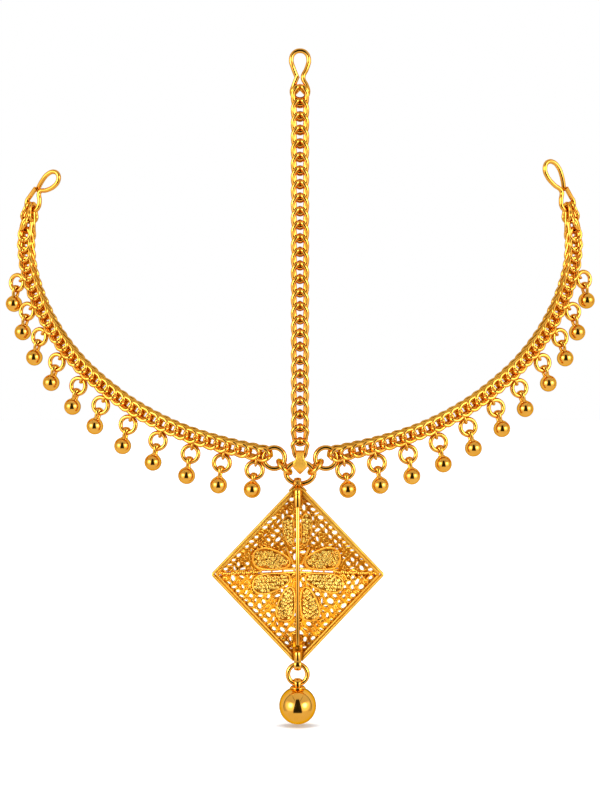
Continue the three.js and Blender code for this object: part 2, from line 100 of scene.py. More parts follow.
# %% A socket that can do sums
class Shade:
    def __init__(self, tree, socket=None):
        self.tree = tree
        self.socket = socket

    def node(self, kind, settings=None, inputs=None, output=0):
        made = self.tree.nodes.new(kind)
        for name, value in (settings or {}).items():
            setattr(made, name, value)
        for name, value in (inputs or {}).items():
            if isinstance(value, Shade):
                self.tree.links.new(value.socket, made.inputs[name])
            else:
                made.inputs[name].default_value = value
        return Shade(self.tree, made.outputs[output])

    def sum(self, operation, first, second):
        return self.node("ShaderNodeMath", {"operation": operation}, {0: first, 1: second})

    def __add__(self, other):
        return self.sum("ADD", self, other)

    def __sub__(self, other):
        return self.sum("SUBTRACT", self, other)

    def __rsub__(self, other):
        return self.sum("SUBTRACT", other, self)

    def __mul__(self, other):
        return self.sum("MULTIPLY", self, other)

    def __truediv__(self, other):
        return self.sum("DIVIDE", self, other)

    def __abs__(self):
        return self.sum("ABSOLUTE", self, 0)

    __radd__ = __add__
    __rmul__ = __mul__

    def clamp(self):
        return self.node("ShaderNodeClamp", None, {"Value": self})

    def smooth(self, low, high):
        settings = {"interpolation_type": "SMOOTHSTEP"}
        return self.node("ShaderNodeMapRange", settings, {"Value": self, "From Min": low, "From Max": high})

    def blend(self, first, second):
        """A colour that goes from the first to the second as this value goes from 0 to 1."""
        inputs = {0: self, 6: (*first, 1), 7: (*second, 1)}
        return self.node("ShaderNodeMix", {"data_type": "RGBA"}, inputs, output=2)


OBJECT_COORDS = 3  # output of the Texture Coordinate node
print("shade: sums on sockets")

# %% [markdown]
# ## Six finishes of one metal
# Polished wire, a satin strap, the pendant's frame, its net, the crevices of the net and the pale scrolls
# are all one gold. What differs is how rough the surface is, and a base colour painted lighter or darker
# from finish to finish: painted shade deepens the net's crevices and the foot plate, and painted light makes
# the frame and the scrolls paler. One flat colour would look like plastic. So each finish mixes two golds
# with a soft noise, lets a finer noise vary the roughness, and adds a faint bump. The noises read Object
# coordinates, which stay with the piece from every side.

# %% Gold finishes
DRIFT_SCALE = 160.0  # soft clouds between the two golds
DRIFT_START = 0.32
DRIFT_GAIN = 2.6
ROUGHNESS_SPREAD = 0.12
BUMP_DEPTH = 0.00012
EDGE_TINT = (0.85, 0.58, 0.20, 1)  # keeps the rims of round wire golden


def gold(name, pale, deep, roughness, speck_scale, bump):
    material = bpy.data.materials.new(name)
    material.use_nodes = True
    tree = material.node_tree
    shader = tree.nodes["Principled BSDF"]
    shade = Shade(tree)
    place = shade.node("ShaderNodeTexCoord", output=OBJECT_COORDS)
    drift = shade.node("ShaderNodeTexNoise", None, {"Vector": place, "Scale": DRIFT_SCALE, "Detail": 3.0})
    speck = shade.node("ShaderNodeTexNoise", None, {"Vector": place, "Scale": speck_scale, "Detail": 4.0})
    tint = ((drift - DRIFT_START) * DRIFT_GAIN).clamp().blend(deep, pale)
    grain = (roughness + (speck - 0.5) * ROUGHNESS_SPREAD).clamp()
    relief = shade.node("ShaderNodeBump", None, {"Strength": bump, "Distance": BUMP_DEPTH, "Height": speck})
    tree.links.new(tint.socket, shader.inputs["Base Color"])
    tree.links.new(grain.socket, shader.inputs["Roughness"])
    tree.links.new(relief.socket, shader.inputs["Normal"])
    shader.inputs["Metallic"].default_value = 1.0
    shader.inputs["Specular Tint"].default_value = EDGE_TINT
    return material


polished_gold = gold("polished", (0.80, 0.405, 0.068), (0.71, 0.32, 0.036), 0.07, 900.0, 0.04)
satin_gold = gold("satin", (1.0, 0.57, 0.085), (0.95, 0.48, 0.05), 0.50, 2600.0, 0.30)
filigree_gold = gold("filigree", (0.86, 0.50, 0.074), (0.76, 0.39, 0.042), 0.18, 1500.0, 0.06)
# painted shade: this darker gold stands for the shade between the net's wires
painted_shade_gold = gold("filigree_painted_shade", (0.60, 0.215, 0.008), (0.46, 0.135, 0.004), 0.30, 1500.0, 0.25)
# painted light: the scrolls' gold is paler, so the petals look brightly lit
scroll_gold_painted_light = gold("filigree_scroll_painted_light", (1.0, 0.80, 0.22), (1.0, 0.70, 0.14), 0.24, 2600.0, 0.10)
# painted light: the frame's gold is paler, so its strips look brightly lit
frame_gold_painted_light = gold("filigree_frame_painted_light", (0.95, 0.58, 0.095), (0.86, 0.47, 0.055), 0.34, 1500.0, 0.04)

# %% [markdown]
# ## Bent wire
# Most of the jewel is wire that a goldsmith draws, bends and solders. A sweep along an edge would do for a
# straight one. A bezier curve with a round bevel bends more freely, so a few knots make a link, a hook or a
# spiral. The curve is then made a mesh.

# %% Bent wire
def bent_wires(paths, radius, closed=False, sides=12, steps=6):
    curve = bpy.data.curves.new("wire", "CURVE")
    curve.dimensions = "3D"
    curve.resolution_u = steps
    curve.bevel_depth = radius
    curve.bevel_resolution = (sides - 4) // 2
    curve.use_fill_caps = not closed
    for points in paths:
        spline = curve.splines.new("BEZIER")
        spline.bezier_points.add(len(points) - 1)
        for knot, point in zip(spline.bezier_points, points):
            knot.co = point
            knot.handle_left_type = knot.handle_right_type = "AUTO"
        spline.use_cyclic_u = closed
    holder = bpy.data.objects.new("wire", curve)
    scene.collection.objects.link(holder)
    graph = bpy.context.evaluated_depsgraph_get()
    mesh = bpy.data.meshes.new_from_object(holder.evaluated_get(graph))
    bpy.data.objects.remove(holder)
    bpy.data.curves.remove(curve)
    return mesh


def bent_wire(points, radius, **settings):
    return bent_wires([points], radius, **settings)


print("bent wire: a bevelled curve made a mesh")

# %% [markdown]
# ## Stamps and pieces
# The same small part is soldered on many times, so a stamp copies a small mesh into a larger one at a place.
# The last helper scales the millimetres, shades the mesh smooth and hands the piece to its body. Copies of
# objects would be lighter, but one mesh for each piece is what the frame can carry and swing.

# %% Stamps and pieces
move = Matrix.Translation


def stamp(bm, mesh, place=Matrix()):
    copy = mesh.copy()
    copy.transform(place)
    bm.from_mesh(copy)
    bpy.data.meshes.remove(copy)


def mesh_of(bm, name):
    mesh = bpy.data.meshes.new(name)
    bm.to_mesh(mesh)
    bm.free()
    return mesh


def add_piece(name, bm, body, finish, nodes=()):
    bmesh.ops.scale(bm, vec=(MM, MM, MM), verts=bm.verts)
    bmesh.ops.recalc_face_normals(bm, faces=bm.faces)
    mesh = mesh_of(bm, name)
    mesh.shade_smooth()
    mesh.materials.append(finish)
    piece = bpy.data.objects.new(name, mesh)
    scene.collection.objects.link(piece)
    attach(piece, body)
    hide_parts(*nodes)
    print(name, len(mesh.polygons), "faces on", body)
    return piece


def add_wire(name, mesh, body, node, place=Matrix()):
    """A polished piece that is one small mesh."""
    bm = bmesh.new()
    stamp(bm, mesh, place)
    add_piece(name, bm, body, polished_gold, [node])


def node_middle(node):
    low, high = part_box(node)
    return (low + high) / 2 / MM


print("centre ring hangs at", [round(value, 1) for value in node_middle("centre_ring")], "mm")

# %% [markdown]
# ## Loop-in-loop chain
# Each link is a soldered ring, pinched long, folded in half and threaded through the ones before it. The
# fold is a pair of strands side by side, the legs spread outwards, and the two ends make arches that hold
# the next folds. A quarter of the link is a short table, mirrored twice and bent from wire, and a chain is
# that link stamped over and over. A woven texture on a tube would be quicker, but light has to pass between
# the strands.

# %% One folded link
LINK_QUARTER = [  # across, deep and down, as shares of the link's size
    (0.25, 1.00, 0.00), (0.84, 1.00, 0.13), (1.06, 0.92, 0.28), (0.90, 0.76, 0.50),
    (0.82, 0.58, 0.72), (0.62, 0.48, 0.91), (0.20, 0.48, 1.00),
]


def folded_link(half_width, depth, height, wire):
    def corner(sx, sy, rows):
        return [Vector((sx * half_width * x, sy * depth * y, -height * z)) for x, y, z in rows]

    down, up = LINK_QUARTER, LINK_QUARTER[::-1]
    points = corner(1, -1, down) + corner(-1, -1, up) + corner(-1, 1, down) + corner(1, 1, up)
    return bent_wire(points, wire, closed=True, sides=10, steps=2)


print("a folded link has", 4 * len(LINK_QUARTER), "bends")

# %% [markdown]
# ## Centre chain
# The centre chain hangs straight down from the hook, so each link is the one above moved down by a pitch.
# Its first fold shows inside the hook's lower loop. A link reaches past two pitches, and a short one fills
# the first pitch, where no link comes from above. The last two have fewer links to hold and are short too.

# %% Centre chain
LINK_PITCH = 4.41
LINK_SEAT = 1.25  # rise of a fold above the arch that it sits on
LINK_COUNT = 27
LONG_HALF_WIDTH, SHORT_HALF_WIDTH = 2.17, 2.25
LINK_DEPTH = 1.95
LINK_WIRE = 0.75
FIRST_FOLD = -11.3  # height of the first fold

long_link = folded_link(LONG_HALF_WIDTH, LINK_DEPTH, 2 * LINK_PITCH + LINK_SEAT, LINK_WIRE)
short_link = folded_link(SHORT_HALF_WIDTH, LINK_DEPTH, LINK_PITCH + LINK_SEAT, LINK_WIRE)
bm = bmesh.new()
for i in range(LINK_COUNT):
    place = move((0, 0, FIRST_FOLD - i * LINK_PITCH))
    stamp(bm, long_link if i < LINK_COUNT - 2 else short_link, place)
    if i == 0:
        stamp(bm, short_link, place)
add_piece("centre_chain_links", bm, "chains", polished_gold, ["chain_centre"])

# %% [markdown]
# ## The sweep of a side chain
# A side chain hangs in a curve and also bends back round the head. Its route is drawn in front view and laid
# on an upright cylinder. A curve modifier could bend a straight chain, but it would stretch the links. So
# the route is read from a bent wire with no thickness, and any distance along it gives a point and a
# direction for one link.

# %% Side routes
SWEEP_RADIUS = 220.0
SIDE_PATH = [  # out from the middle, height
    (13.0, -130.15), (26.1, -127.3), (46.2, -120.2), (67.4, -106.6), (80.7, -92.9),
    (88.8, -79.1), (93.0, -66.5), (93.6, -57.8), (92.2, -49.7),
]


class Route:
    def __init__(self, sign):
        self.sign = sign
        knots = []
        for out, height in SIDE_PATH:
            depth = SWEEP_RADIUS - math.sqrt(SWEEP_RADIUS ** 2 - out ** 2)
            knots.append(Vector((sign * out, depth, height)))
        line = bent_wire(knots, 0, steps=40)
        self.points = [v.co.copy() for v in line.vertices]
        self.reach = [0.0]
        for a, b in zip(self.points, self.points[1:]):
            self.reach.append(self.reach[-1] + (b - a).length)
        self.length = self.reach[-1]

    def at(self, distance):
        """Point, direction, way to the front, way to below and turn round the head."""
        i = sum(r < distance for r in self.reach[1:-1])
        along = (self.points[i + 1] - self.points[i]).normalized()
        point = self.points[i] + along * (distance - self.reach[i])
        turn = math.asin(min(abs(point.x) / SWEEP_RADIUS, 1))
        face = Vector((self.sign * math.sin(turn), -math.cos(turn), 0))
        below = along.cross(face).normalized() * self.sign
        return point, along, face, below, turn


routes = {"left": Route(-1), "right": Route(1)}
print("side chains", {name: round(route.length, 1) for name, route in routes.items()}, "mm long")

# %% [markdown]
# ## Side chains
# The side chain is the same link in a smaller size. It lies a little rolled, so that some of its upper side
# shows. Its first fold grips the end ring, and its last arches reach into the hook's loop. The fold grips a
# wire that runs up and down, the arches one that runs across, so the chain takes a quarter turn in its last
# two links. Small loops below it carry the jump rings.

# %% Side links
SIDE_PITCH = 3.48
SIDE_SEAT = 0.93
SIDE_WIRE = 0.65
SIDE_HALF_WIDTH = 1.90
SIDE_DEPTH = 1.68
SIDE_START = -3.3  # first fold, inside the end ring
SIDE_COUNT = 38
SIDE_ROLL = math.radians(15)
TWIST_LINKS = 2
HOOK_GRIP = 1.6  # how much further the last link reaches


def axes_matrix(x, y, z, origin):
    return move(origin) @ Matrix((x, y, z)).transposed().to_4x4()


def side_link_place(route, i):
    distance = SIDE_START + i * SIDE_PITCH
    point, _, _, _, turn = route.at(distance)
    _, along, face, _, _ = route.at(distance + SIDE_PITCH)
    z = -along
    y = -(face - face.dot(along) * along).normalized()
    twist = max(0.0, i - (SIDE_COUNT - 1 - TWIST_LINKS)) / TWIST_LINKS
    roll = (SIDE_ROLL - turn) * (1 - twist) + math.pi / 2 * twist
    return axes_matrix(y.cross(z), y, z, point) @ Matrix.Rotation(-route.sign * roll, 4, "Z")


side_link = folded_link(SIDE_HALF_WIDTH, SIDE_DEPTH, 2 * SIDE_PITCH + SIDE_SEAT, SIDE_WIRE)
end_link = folded_link(SIDE_HALF_WIDTH, SIDE_DEPTH, SIDE_PITCH + SIDE_SEAT + HOOK_GRIP, SIDE_WIRE)
print("side links", len(side_link.polygons), "faces each,", SIDE_COUNT, "to a chain")

# %% Side chains
DROP_PLACES = {  # distance of each drop along its chain
    "left": [0.6, 11.4, 22.0, 33.1, 44.3, 55.4, 65.6, 76.3, 86.7, 96.1, 106.0],
    "right": [0.6, 11.0, 21.5, 31.8, 42.8, 54.0, 64.5, 76.0, 86.4, 96.0, 107.0],
}
JUMP_OFFSET = 5.8  # from the chain's middle to the jump ring's
JUMP_RADIUS = 2.65
JUMP_WIRE = 0.74
LOOP_WIRE = 0.42
LOOP_REACH = JUMP_OFFSET - JUMP_RADIUS + JUMP_WIRE + 0.45  # from the chain's middle to the loop's lowest
LOOP_HALF = [(1.3, 1.0), (2.6, 1.12), (LOOP_REACH - 0.25, 0.75)]  # below the chain, to the front


def drop_loop(route, distance):
    """The small loop that a jump ring hangs from."""
    point, _, face, below, _ = route.at(distance)
    points = [point + below * down + face * out for down, out in LOOP_HALF]
    points.append(point + below * LOOP_REACH)
    points += [point + below * down - face * out for down, out in LOOP_HALF[::-1]]
    return bent_wire(points, LOOP_WIRE, sides=10, steps=5)


for side, route in routes.items():
    bm = bmesh.new()
    for i in range(SIDE_COUNT):
        stamp(bm, side_link if i < SIDE_COUNT - 1 else end_link, side_link_place(route, i))
    for distance in DROP_PLACES[side]:
        stamp(bm, drop_loop(route, distance))
    add_piece(f"side_chain_links_{side}", bm, "chains", polished_gold, [f"chain_{side}"])

# %% [markdown]
# ## Rings
# Face-on end rings close the side chains, and tie rings, seen nearly edge-on, join them to the middle. A
# ring could be a torus from the Add menu. Here it is a circle of wire spun round an axis, which shows how
# the operator works, and `use_merge` closes the seam.

# %% Round rings
END_RADIUS, END_WIRE = 3.45, 0.80
TIE_RADIUS, TIE_WIRE = 2.75, 0.74
TIE_TILT = math.radians(12)  # from edge-on


def ring_mesh(radius, wire, steps=36, sides=12):
    bm = bmesh.new()
    start = move((radius, 0, 0))
    circle = bmesh.ops.create_circle(bm, segments=sides, radius=wire, matrix=start)
    edges = list({edge for vert in circle["verts"] for edge in vert.link_edges})
    bmesh.ops.spin(bm, geom=circle["verts"] + edges, cent=(0, 0, 0), axis=(0, 1, 0), angle=2 * math.pi,
                   steps=steps, use_merge=True)
    return mesh_of(bm, "ring")


end_ring = ring_mesh(END_RADIUS, END_WIRE)
tie_ring = ring_mesh(TIE_RADIUS, TIE_WIRE)
for side, route in routes.items():
    end_place = move(node_middle(f"end_ring_{side}"))
    add_wire(f"end_ring_wire_{side}", end_ring, "chains", f"end_ring_{side}", end_place)
    slope = Matrix.Rotation(route.sign * math.pi / 4, 4, "Y")
    edge_on = Matrix.Rotation(math.pi / 2 + route.sign * TIE_TILT, 4, "Z")
    tie_place = move(node_middle(f"tie_ring_{side}")) @ slope @ edge_on
    add_wire(f"tie_ring_wire_{side}", tie_ring, "chains", f"tie_ring_{side}", tie_place)

# %% [markdown]
# ## Centre ring
# The ring that carries the pendant and both side chains is an oval, a little wider than it is high. A round
# ring stretched to an oval would have a wire that is thicker at the sides. So the oval is bent from wire,
# through points on the outline that the solid's box gives.

# %% Centre ring
CENTRE_WIRE = 0.84
OVAL_BENDS = 16

low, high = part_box("centre_ring")
half_width = (high.x - low.x) / 2 / MM - CENTRE_WIRE
half_height = (high.z - low.z) / 2 / MM - CENTRE_WIRE
oval = []
for i in range(OVAL_BENDS):
    angle = i / OVAL_BENDS * 2 * math.pi
    bend = Vector((half_width * math.sin(angle), 0, half_height * math.cos(angle)))
    oval.append(node_middle("centre_ring") + bend)
centre_ring = bent_wire(oval, CENTRE_WIRE, closed=True, steps=4)
add_wire("centre_ring_wire", centre_ring, "chains", "centre_ring")

# %% [markdown]
# ## Ball drops
# Each small ball is two soldered cups with a collar and a wire eye on top. A jump ring passes through the
# eye and hangs from the chain. The eye stands square to the ring, and it is widened where it goes over the
# ring, like a strap. One drop is modelled and stamped, and on the steep part of the chain the drops lean
# outwards.

# %% One ball drop
BALL_RADIUS = 2.8
BALL_REACH = 7.3  # from the jump ring's middle to the ball's
INNER_BALL_REACH = 6.4  # the drop nearest the pendant hangs shorter
COLLAR = (0.93 * BALL_RADIUS, 1.45, 1.0, 20)  # above the ball's middle, lower and upper radius, sides
COLLAR_HEIGHT = 0.5
EYE_RADIUS = 1.3
EYE_WIRE = 0.56
EYE_SINK = 0.85  # where the eye's foot is, in radii above the ball's middle


def eye_strap(foot, widen):
    """A loop in the YZ plane, open at the bottom, wide over the ring and narrow at its foot."""
    half = [(0.66, -foot / EYE_RADIUS), (0.98, -0.2), (0.72, 0.68)]  # aside and up, in radii
    points = [Vector((0, -y, z)) * EYE_RADIUS for y, z in half] + [Vector((0, 0, EYE_RADIUS))]
    points += [Vector((0, y, z)) * EYE_RADIUS for y, z in half[::-1]]
    strap = bent_wire(points, EYE_WIRE, sides=12, steps=5)
    for vert in strap.vertices:
        vert.co.x *= 1 + widen * min(max(vert.co.z / EYE_RADIUS, 0), 1)
    return strap


def collared_ball(bm, middle, radius, segments, collar):
    above, lower, upper, sides = collar
    bmesh.ops.create_uvsphere(bm, u_segments=segments, v_segments=segments * 5 // 8, radius=radius,
                              matrix=middle)
    bmesh.ops.create_cone(bm, cap_ends=True, segments=sides, radius1=lower, radius2=upper,
                          depth=COLLAR_HEIGHT, matrix=middle @ move((0, 0, above)))


def ball_drop_mesh(reach):
    bm = bmesh.new()
    collared_ball(bm, move((0, 0, -reach)), BALL_RADIUS, 32, COLLAR)
    eye = eye_strap(reach - JUMP_RADIUS - EYE_SINK * BALL_RADIUS, 1.0)
    stamp(bm, eye, move((0, 0, -JUMP_RADIUS)))
    return mesh_of(bm, "ball_drop")


inner_drop, outer_drop = ball_drop_mesh(INNER_BALL_REACH), ball_drop_mesh(BALL_REACH)
print("a ball drop has", len(outer_drop.polygons), "faces")

# %% Ball drops and jump rings
DROP_LEAN = math.radians(18)

jump_ring = ring_mesh(JUMP_RADIUS, JUMP_WIRE, steps=30)
for side, route in routes.items():
    rings, balls = bmesh.new(), bmesh.new()
    for i, distance in enumerate(DROP_PLACES[side]):
        point, along, _, below, turn = route.at(distance)
        place = move(point + below * JUMP_OFFSET) @ Matrix.Rotation(route.sign * turn, 4, "Z")
        lean = -route.sign * DROP_LEAN * math.sin(2 * math.asin(along.z))
        stamp(rings, jump_ring, place)
        stamp(balls, outer_drop if i else inner_drop, place @ Matrix.Rotation(lean, 4, "Y"))
    count = range(1, len(DROP_PLACES[side]) + 1)
    ring_nodes = [f"jump_ring_{side}_{n:02d}" for n in count]
    ball_nodes = [f"ball_drop_{side}_{n:02d}" for n in count]
    add_piece(f"jump_rings_{side}", rings, "chains", polished_gold, ring_nodes)
    add_piece(f"ball_drops_{side}", balls, "chains", polished_gold, ball_nodes)

# %% [markdown]
# ## Hooks
# Each hook is one wire. From its free tip it makes a tall pear-shaped loop, narrows at a waist, and closes
# in a small loop whose end crosses in front. Both loops come from one list of bends. The side hooks lean
# inwards, and their pear loops are bent over at the waist and drawn longer, by amounts that differ from
# left to right, as hand-bent wire does.

# %% Hooks
HOOK_WIRE = 0.78
HOOK_TOP = 13.2
HOOK_WAIST = 4.6
HOOK_LOW = 2.65
HOOK_REACH = 1.4  # from the chain's end to the lower loop's lowest point
HOOK_PATH = [  # across, back, up from the middle of the lower loop
    (-0.8, 0.8, 4.3), (-2.2, 0.1, 7.6), (-2.85, 0, 10.3), (-2.0, 0, 12.4), (0, 0, HOOK_TOP),
    (2.0, 0, 12.4), (2.85, 0, 10.3), (2.2, 0, 7.4), (1.0, 0, 4.5), (2.2, 0, 1.7), (2.6, 0, -0.3),
    (1.65, 0, -2.1), (0, 0, -HOOK_LOW), (-1.65, 0, -2.1), (-2.6, 0, -0.3), (-2.0, -0.1, 1.9),
    (-0.8, -0.8, 4.8),
]
SIDE_HOOKS = [  # side, lean in degrees, pear's bend in degrees, length and width
    ("left", 24, 36, 1.13, 0.88),
    ("right", 20, 17, 1.3, 1.0),
]


def hook_mesh(mirror, pear_bend, pear_long, pear_wide):
    waist = Vector((0, 0, HOOK_WAIST))
    bend = Matrix.Rotation(mirror * math.radians(pear_bend), 3, "Y")
    points = []
    for across, back, up in HOOK_PATH:
        point = Vector((mirror * across, back, up))
        if up > HOOK_WAIST:
            point = waist + bend @ Vector((point.x * pear_wide, back, (up - HOOK_WAIST) * pear_long))
        points.append(point)
    return bent_wire(points, HOOK_WIRE, sides=12, steps=6)


top_place = move((0, 0, HOOK_WIRE - HOOK_TOP))
add_wire("hook_wire_top", hook_mesh(1, 0, 1, 1), "chains", "hook_top", top_place)
for side, lean, pear_bend, pear_long, pear_wide in SIDE_HOOKS:
    route = routes[side]
    point, along, _, _, turn = route.at(route.length)
    seat = move(point + along * HOOK_REACH) @ Matrix.Rotation(route.sign * turn, 4, "Z")
    tilt = Matrix.Rotation(-route.sign * math.radians(lean), 4, "Y")
    hook = hook_mesh(-route.sign, pear_bend, pear_long, pear_wide)
    place = seat @ tilt @ move((0, 0, HOOK_LOW))
    add_wire(f"hook_wire_{side}", hook, "chains", f"hook_{side}", place)

# %% [markdown]
# ## Leaf bail
# A strap of sheet folded over the last link carries the centre ring. Its two ends are cut as leaves and meet
# at a point. A flat grid is the sheet: its length follows the fold seen from the side, its width follows the
# leaf, and solidify gives it thickness. Cutting the leaf from a folded block would leave square edges.

# %% The strap's fold and outline
SHEET = 0.5

low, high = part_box("leaf_bail")
top, tip = high.z / MM - SHEET / 2, low.z / MM
fold_depth = high.y / MM - SHEET / 2
FOLD = [  # back from the middle, height
    (0.30, tip), (0.8 * fold_depth, tip + 1.9), (fold_depth, tip + 3.4),
    (fold_depth, top - 1.2), (0.7 * fold_depth, top - 0.2),
]
LEAF = [(tip, 0.12), (tip + 2.2, 2.28), (tip + 3.4, 2.3), (tip + 4.9, 1.25)]  # height, half width
side_view = [Vector((0, -y, z)) for y, z in FOLD] + [Vector((0, 0, top))]
side_view += [Vector((0, y, z)) for y, z in FOLD[::-1]]
fold_line = [v.co.copy() for v in bent_wire(side_view, 0, steps=6).vertices]
flat_length = sum((b - a).length for a, b in zip(fold_line, fold_line[1:]))
print("the strap is", round(flat_length, 1), "mm long when flat")

# %% Leaf bail
def leaf_half_width(height):
    for (z0, w0), (z1, w1) in zip(LEAF, LEAF[1:]):
        if height <= z1:
            return w0 + (w1 - w0) * max(0.0, height - z0) / (z1 - z0)
    return LEAF[-1][1]


bm = bmesh.new()
rows = len(fold_line) - 1
bmesh.ops.create_grid(bm, x_segments=8, y_segments=rows, size=1)
for vert in bm.verts:
    spot = fold_line[round((vert.co.y + 1) / 2 * rows)]
    vert.co = (vert.co.x * leaf_half_width(spot.z), spot.y, spot.z)
bmesh.ops.recalc_face_normals(bm, faces=bm.faces)
bmesh.ops.solidify(bm, geom=bm.faces[:], thickness=SHEET)
add_piece("leaf_bail_strap", bm, "chains", satin_gold, ["leaf_bail"])

# %% [markdown]
# ## Pendant frame
# The pendant is a square on its corner, and its back is what we see: a hollow four-sided pyramid of fine
# wire in a frame with a bar across. The frame is a flat outer strip with a lower strip soldered inside it,
# and a thin wire lies along each. A strip is a square face with its corners cut off, inset to a band,
# extruded and bevelled, so that its width is even all round. The square is drawn flat, and one matrix stands
# it up and stretches it a little in height.

# %% A square band
PENDANT_X = -0.75
PENDANT_Z = -169.45
PENDANT_BACK = -2.6
FRAME_DEPTH = 3.0
HALF_WIDTH = 28.2
HALF_HEIGHT = 29.7
SIDE_CUT = 0.4
END_CUT = 1.8
STRETCH = HALF_HEIGHT / HALF_WIDTH
FLAT_END_CUT = END_CUT / STRETCH

stand_up = (move((PENDANT_X, PENDANT_BACK, PENDANT_Z)) @ Matrix.Scale(STRETCH, 4, (0, 0, 1))
            @ Matrix.Rotation(math.pi / 2, 4, "X"))


def everything(bm):
    return bm.verts[:] + bm.edges[:] + bm.faces[:]


def square_band(reach, band, back, depth, rounding):
    """A square ring on its corner, its upper face `back` behind the frame's back face."""
    bm = bmesh.new()
    level = move((0, 0, -back))
    bmesh.ops.create_circle(bm, cap_ends=True, segments=4, radius=reach, matrix=level)
    side_tip, end_tip = reach - SIDE_CUT, HALF_WIDTH - FLAT_END_CUT
    for x, y, tip in ((1, 0, side_tip), (-1, 0, side_tip), (0, 1, end_tip), (0, -1, end_tip)):
        bmesh.ops.bisect_plane(bm, geom=everything(bm), plane_co=(x * tip, y * tip, 0),
                               plane_no=(x, y, 0), clear_outer=True)
    inside = bm.faces[:]
    inset = bmesh.ops.inset_region(bm, faces=inside, thickness=band, use_boundary=True, use_even_offset=True)
    bmesh.ops.delete(bm, geom=inside, context="FACES")
    walls = bmesh.ops.extrude_face_region(bm, geom=inset["faces"])["geom"]
    lower = [part for part in walls if isinstance(part, bmesh.types.BMVert)]
    bmesh.ops.translate(bm, vec=(0, 0, -depth), verts=lower)
    bmesh.ops.recalc_face_normals(bm, faces=bm.faces)
    sharp = [edge for edge in bm.edges if edge.calc_face_angle() > 1]
    bmesh.ops.bevel(bm, geom=sharp, affect="EDGES", offset=rounding, segments=4, profile=0.5, material=-1)
    return mesh_of(bm, "band")


print("pendant frame", 2 * HALF_WIDTH, "mm wide and", 2 * HALF_HEIGHT, "mm high, corners uncut")

# %% Pendant frame
STRIPS = [  # reach, band, back, depth, rounding
    (HALF_WIDTH, 0.85, 0.0, FRAME_DEPTH, 0.36),
    (HALF_WIDTH - 1.3, 0.6, 0.5, FRAME_DEPTH - 0.6, 0.26),
]
EDGE_WIRE = 0.4
EDGE_CORNER = 0.3
EDGE_LINES = [(HALF_WIDTH - 0.6, 0.12), (HALF_WIDTH - 1.75, 0.6)]  # reach, back
QUARTERS = [(-1, 1), (1, 1), (-1, -1), (1, -1)]  # left or right, up or down

bm = bmesh.new()
for strip in STRIPS:
    stamp(bm, square_band(*strip), stand_up)
edges = []
for reach, back in EDGE_LINES:
    ends = ((reach - EDGE_CORNER, EDGE_CORNER), (FLAT_END_CUT, reach - FLAT_END_CUT))
    for sx, sz in QUARTERS:
        edges.append([stand_up @ Vector((sx * x, sz * z, -back)) for x, z in ends])
stamp(bm, bent_wires(edges, EDGE_WIRE, sides=10, steps=1))
# painted light: the frame strips take the paler gold
add_piece("pendant_frame_strips", bm, "pendant_body", frame_gold_painted_light, ["pendant"])

# %% [markdown]
# ## Pendant faces
# Each face of the pyramid is filigree: rings of fine wire packed side by side and soldered, with grains of
# gold between them. Some rings stand open and some have a floor. Hundreds of rings would be slow to place
# one by one, so a grid with its corners shaken about says where each one goes. Its cells are inset, some are
# opened, and the sheet is thickened. A ring of round wire follows each cell's edges on both sides of the
# sheet, and a grain sits on each inner corner. The face is drawn flat in two directions, out from the middle
# and along the frame, and a matrix leans it on to each of the four sides.

# %% A shaken grid
PYRAMID_RISE = 9.0
FACE_BASE = PENDANT_BACK + FRAME_DEPTH
NET_ROWS = [0.4, 2.5, 4.6, 6.7, 8.8, 10.9, 12.9, 14.9, 16.8, 18.6]  # distances out from the middle
NET_CELL = 2.05
NET_SHAKE = 0.27  # share of a cell that a corner may move
RIDGE_GAPS = [(1, 0.6), (-1, 0.1)]  # 1 for the side ridge or -1 for the upright one, gap


def lean_on_face(sx, sz):
    half = 1 / math.sqrt(2)
    return Matrix((
        (sx * half, sx * half, 0, PENDANT_X),
        (-PYRAMID_RISE * math.sqrt(2) / HALF_WIDTH, 0, 1, FACE_BASE + PYRAMID_RISE),
        (STRETCH * sz * half, -STRETCH * sz * half, 0, PENDANT_Z),
        (0, 0, 0, 1),
    ))


def shaken_grid(shaker):
    bm = bmesh.new()
    rows = len(NET_ROWS) - 1
    columns = 2 * math.ceil(NET_ROWS[-1] / NET_CELL) + 2
    bmesh.ops.create_grid(bm, x_segments=rows, y_segments=columns, size=1)
    for vert in bm.verts:
        row = round((vert.co.x + 1) / 2 * rows)
        shake = NET_SHAKE * NET_CELL if 0 < row < rows else 0
        along = vert.co.y * columns / 2 * NET_CELL + 0.5 * NET_CELL * (row % 2)
        vert.co = (NET_ROWS[row] + shaker.uniform(-shake, shake),
                   along + shaker.uniform(-NET_SHAKE, NET_SHAKE) * NET_CELL, 0)
    for side, gap in RIDGE_GAPS:
        bmesh.ops.bisect_plane(bm, geom=everything(bm), plane_co=(gap, 0, 0), plane_no=(-1, side, 0),
                               clear_outer=True)
    return bm


shaker = random.Random(7)
print("net grid of", len(NET_ROWS) - 1, "rows")

# %% Pendant faces
NET_SHEET = 0.8
NET_WIRE = 0.22
WIRE_STAND = 0.1  # from the sheet's face to the middle of a ring's wire
GRAIN = 0.38
SMALL_CELL = 0.3 * NET_CELL ** 2  # cells with less area than this stay plain
CELL_KINDS = [(0.14, True), (0.30, True), (0.24, True), (0.38, True), (0.28, False)]  # edge to ring, open


